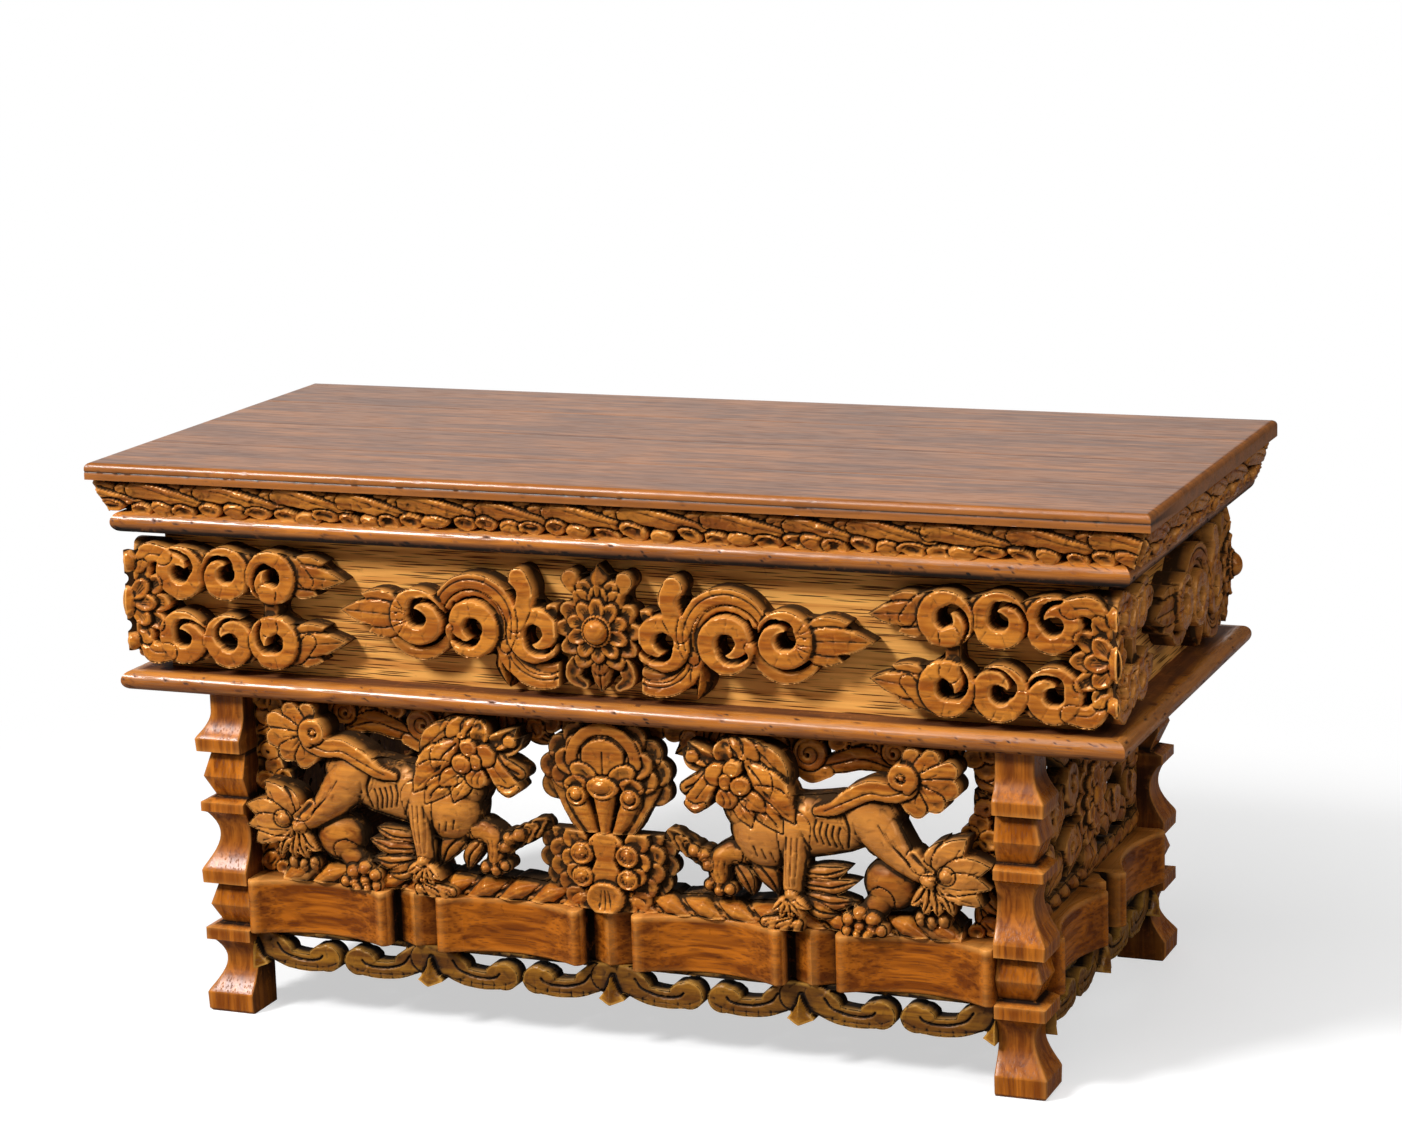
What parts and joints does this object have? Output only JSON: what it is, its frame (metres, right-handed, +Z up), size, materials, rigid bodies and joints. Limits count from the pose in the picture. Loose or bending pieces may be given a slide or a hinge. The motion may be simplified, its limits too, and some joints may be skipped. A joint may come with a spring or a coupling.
{
  "type": "tibetan altar table",
  "caption": "Low carved altar table with a boarded top, leaf cornice, frieze with applied scrolls, profiled legs and a pierced front panel of snow lions.",
  "frame": {"origin": "on the floor, under the middle of the table top", "axes": "+X along the front to the right as seen from the front, front faces -Y, +Z up"},
  "size_m": [0.78, 0.352, 0.403],
  "materials": {
    "top_wood": "oiled, half gloss",
    "frieze_wood": "waxed, open grain",
    "carved_wood": "waxed carving",
    "frame_wood": "waxed, worn edges",
    "inner_wood": "planed, no finish"
  },
  "bodies": {
    "root": {"top_board_1": "top_wood", "top_board_2": "top_wood", "top_board_3": "top_wood", "top_board_4": "top_wood", "cornice_front": "carved_wood", "cornice_back": "carved_wood", "cornice_left": "carved_wood", "cornice_right": "carved_wood", "bead_front": "frame_wood", "bead_back": "frame_wood", "bead_left": "frame_wood", "bead_right": "frame_wood", "frieze_front": "frieze_wood", "frieze_back": "frieze_wood", "frieze_left": "frieze_wood", "frieze_right": "frieze_wood", "corner_block_front_left": "inner_wood", "corner_block_front_right": "inner_wood", "corner_block_back_left": "inner_wood", "corner_block_back_right": "inner_wood", "top_batten_left": "inner_wood", "top_batten_right": "inner_wood", "rosette_front": "carved_wood", "spray_front_left": "carved_wood", "spray_front_right": "carved_wood", "spray_side_left": "carved_wood", "spray_side_right": "carved_wood", "bracket_front_left": "carved_wood", "bracket_front_right": "carved_wood", "bracket_side_left": "carved_wood", "bracket_side_right": "carved_wood", "waist_front": "frame_wood", "waist_back": "frame_wood", "waist_left": "frame_wood", "waist_right": "frame_wood", "leg_front_left": "frame_wood", "leg_front_right": "frame_wood", "leg_back_left": "frame_wood", "leg_back_right": "frame_wood", "rail_front": "frame_wood", "rail_left": "frame_wood", "rail_right": "frame_wood", "apron_front": "carved_wood", "apron_left": "carved_wood", "apron_right": "carved_wood", "ground_strip": "carved_wood", "lion_left": "carved_wood", "lion_right": "carved_wood", "lotus_bloom": "carved_wood", "lotus_base": "carved_wood", "cloud_crest": "carved_wood", "vine_left": "carved_wood", "vine_right": "carved_wood", "side_carving_left": "carved_wood", "side_carving_right": "carved_wood"}
  },
  "joints": []
}
